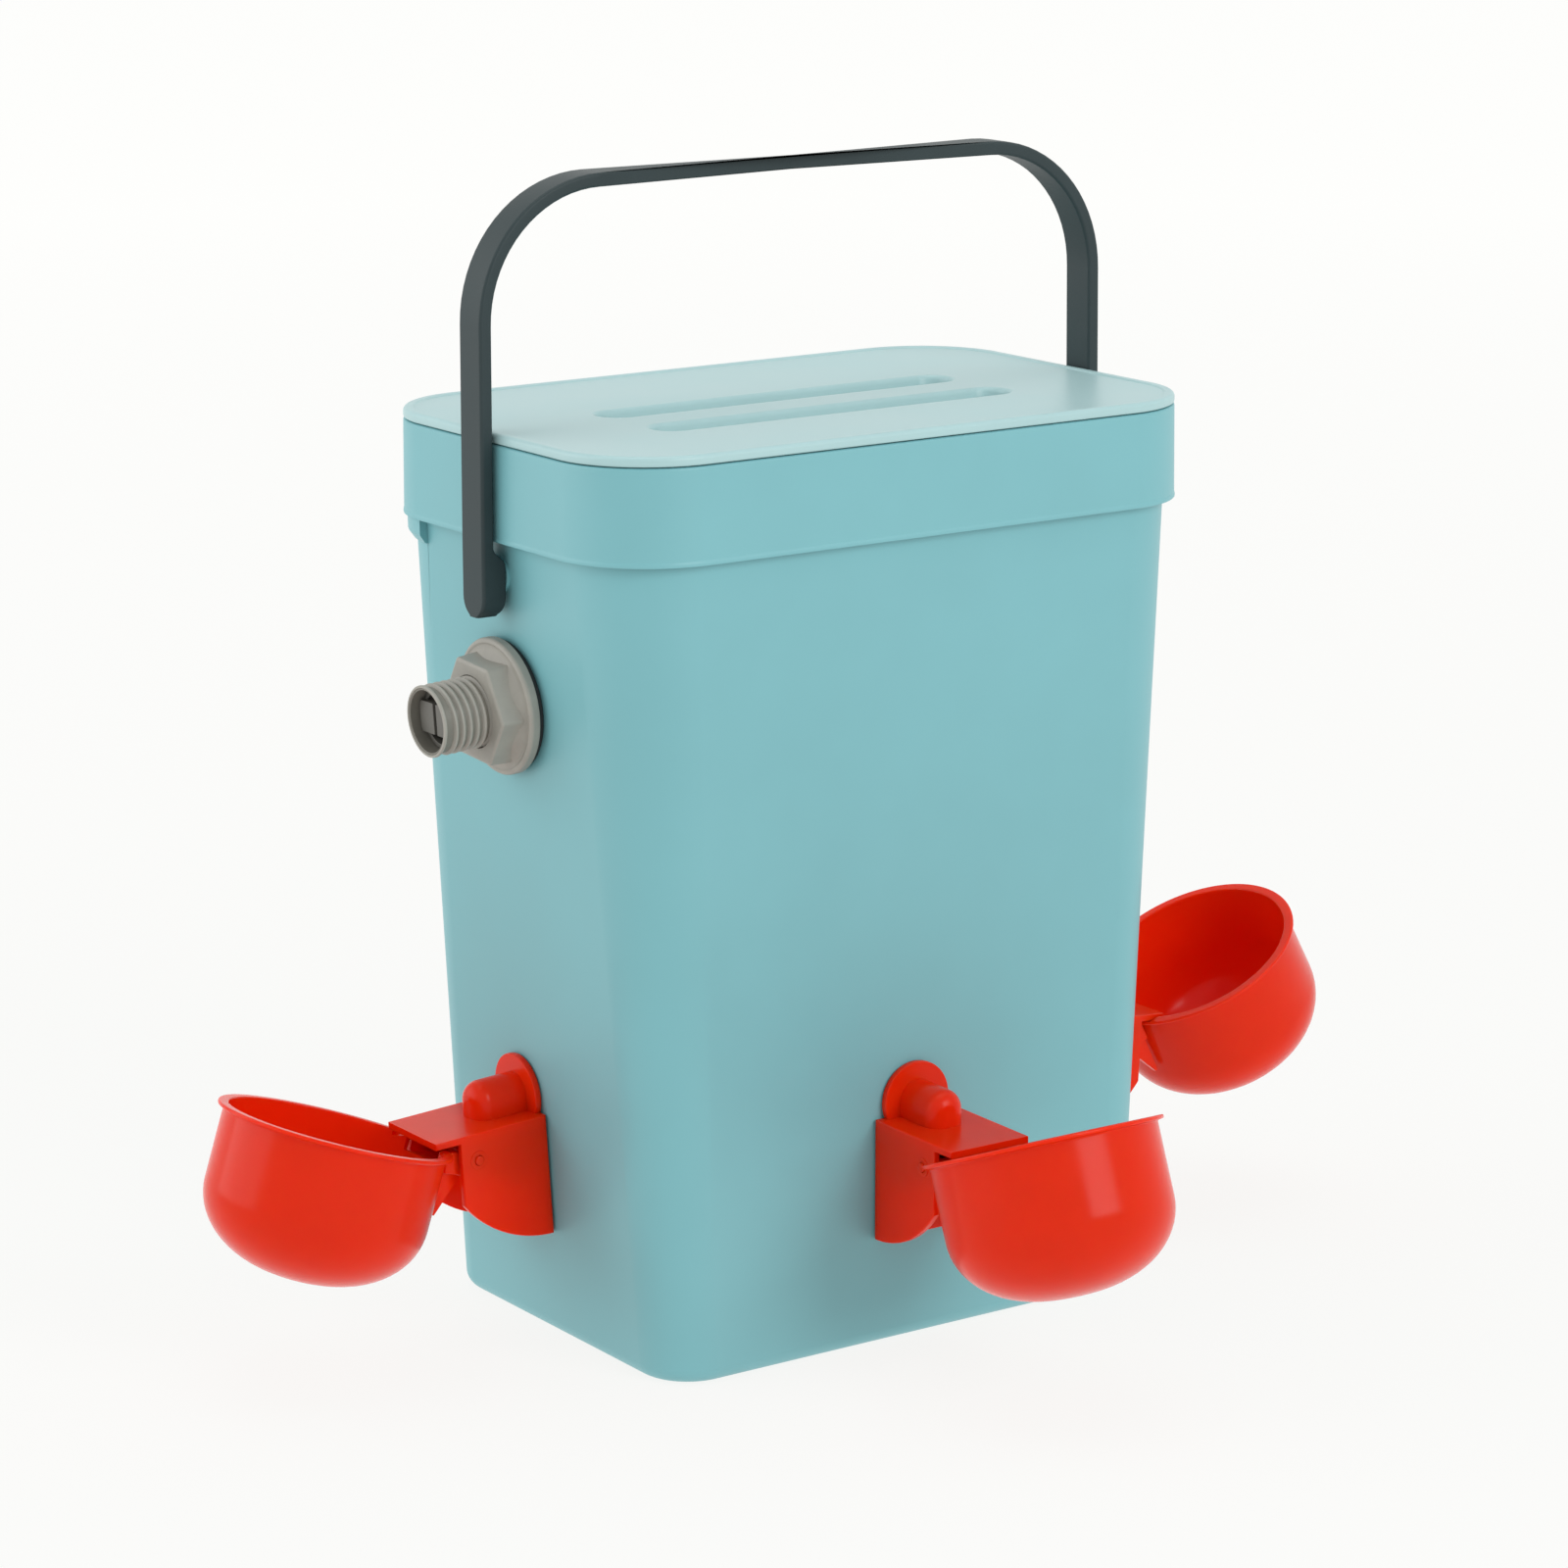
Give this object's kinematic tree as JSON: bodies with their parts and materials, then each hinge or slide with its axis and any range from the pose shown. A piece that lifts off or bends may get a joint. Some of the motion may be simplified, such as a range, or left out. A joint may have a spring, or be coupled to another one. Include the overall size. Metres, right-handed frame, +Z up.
{
  "type": "poultry cup drinker bucket",
  "caption": "Lidded teal bucket with a swinging carrying handle, a float-valve water inlet and tipping red drinking cups on brackets near its base.",
  "frame": {"origin": "centre of the flat underside of the bucket, on the floor", "axes": "+X to the right seen from the front, along the bucket's longer side; +Y to the back that hangs against a wall; +Z up. The water inlet is on the -X wall and the front cup on the -Y wall."},
  "size_m": [0.4148, 0.2531, 0.37],
  "materials": {
    "teal_polypropylene": "satin moulded",
    "pale_teal_polypropylene": "satin moulded",
    "dark_grey_polypropylene": "satin moulded",
    "warm_grey_plastic": "satin moulded",
    "red_plastic": "glossy moulded",
    "black_rubber": "matte",
    "white_plastic": "satin moulded",
    "stainless_steel": "drawn wire and rod"
  },
  "bodies": {
    "bucket": {"bucket_body": "teal_polypropylene", "float_valve_body": "warm_grey_plastic", "inlet_lock_nut": "warm_grey_plastic", "inlet_seal": "black_rubber", "inlet_strainer": "warm_grey_plastic", "float_pin": "stainless_steel", "bracket_left": "red_plastic", "stem_seal_left": "black_rubber", "stem_lock_nut_left": "red_plastic", "hinge_pin_left": "red_plastic", "return_spring_left": "stainless_steel", "bracket_front": "red_plastic", "stem_seal_front": "black_rubber", "stem_lock_nut_front": "red_plastic", "hinge_pin_front": "red_plastic", "return_spring_front": "stainless_steel", "bracket_right": "red_plastic", "stem_seal_right": "black_rubber", "stem_lock_nut_right": "red_plastic", "hinge_pin_right": "red_plastic", "return_spring_right": "stainless_steel"},
    "lid": {"lid": "pale_teal_polypropylene"},
    "handle": {"handle": "dark_grey_polypropylene"},
    "cup_left": {"cup_left": "red_plastic", "valve_pad_left": "black_rubber"},
    "cup_front": {"cup_front": "red_plastic", "valve_pad_front": "black_rubber"},
    "cup_right": {"cup_right": "red_plastic", "valve_pad_right": "black_rubber"},
    "float_lever": {"float_arm": "white_plastic", "float": "white_plastic"},
    "inlet_piston": {"valve_piston": "white_plastic", "piston_washer": "black_rubber"}
  },
  "joints": [
    {"name": "handle_swing", "type": "hinge", "parent": "bucket", "child": "handle", "pos_m": [0, 0, 0.249], "axis": [1, 0, 0], "range_deg": [-135, 135]},
    {"name": "lid_lift", "type": "slide", "parent": "bucket", "child": "lid", "axis": [0, 0, 1], "range_m": [0, 0.03]},
    {"name": "cup_tip_left", "type": "hinge", "parent": "bucket", "child": "cup_left", "pos_m": [-0.12321, 0.0096, 0.06506], "axis": [0, -1, 0], "range_deg": [-10.63, 19], "stiffness_Nm_per_rad": 0.02, "springref_deg": -40.11, "deforming": ["return_spring_left"]},
    {"name": "cup_tip_front", "type": "hinge", "parent": "bucket", "child": "cup_front", "pos_m": [-0.0018, -0.09449, 0.06647], "axis": [1, 0, 0], "range_deg": [-10.63, 19], "stiffness_Nm_per_rad": 0.02, "springref_deg": -40.11, "deforming": ["return_spring_front"]},
    {"name": "cup_tip_right", "type": "hinge", "parent": "bucket", "child": "cup_right", "pos_m": [0.12321, -0.0048, 0.06506], "axis": [0, 1, 0], "range_deg": [0, 29.63], "stiffness_Nm_per_rad": 0.02, "springref_deg": -40.11, "deforming": ["return_spring_right"]},
    {"name": "float_swing", "type": "hinge", "parent": "bucket", "child": "float_lever", "pos_m": [-0.06758, 0, 0.20144], "axis": [0, -1, 0], "range_deg": [0, 30]},
    {"name": "piston_slide", "type": "slide", "parent": "bucket", "child": "inlet_piston", "axis": [-0.998, 0, -0.0637], "range_m": [0, 0.00466]}
  ],
  "couplings": [
    {"joint": "piston_slide", "follows": "float_swing", "m_per_rad": 0.008898}
  ]
}
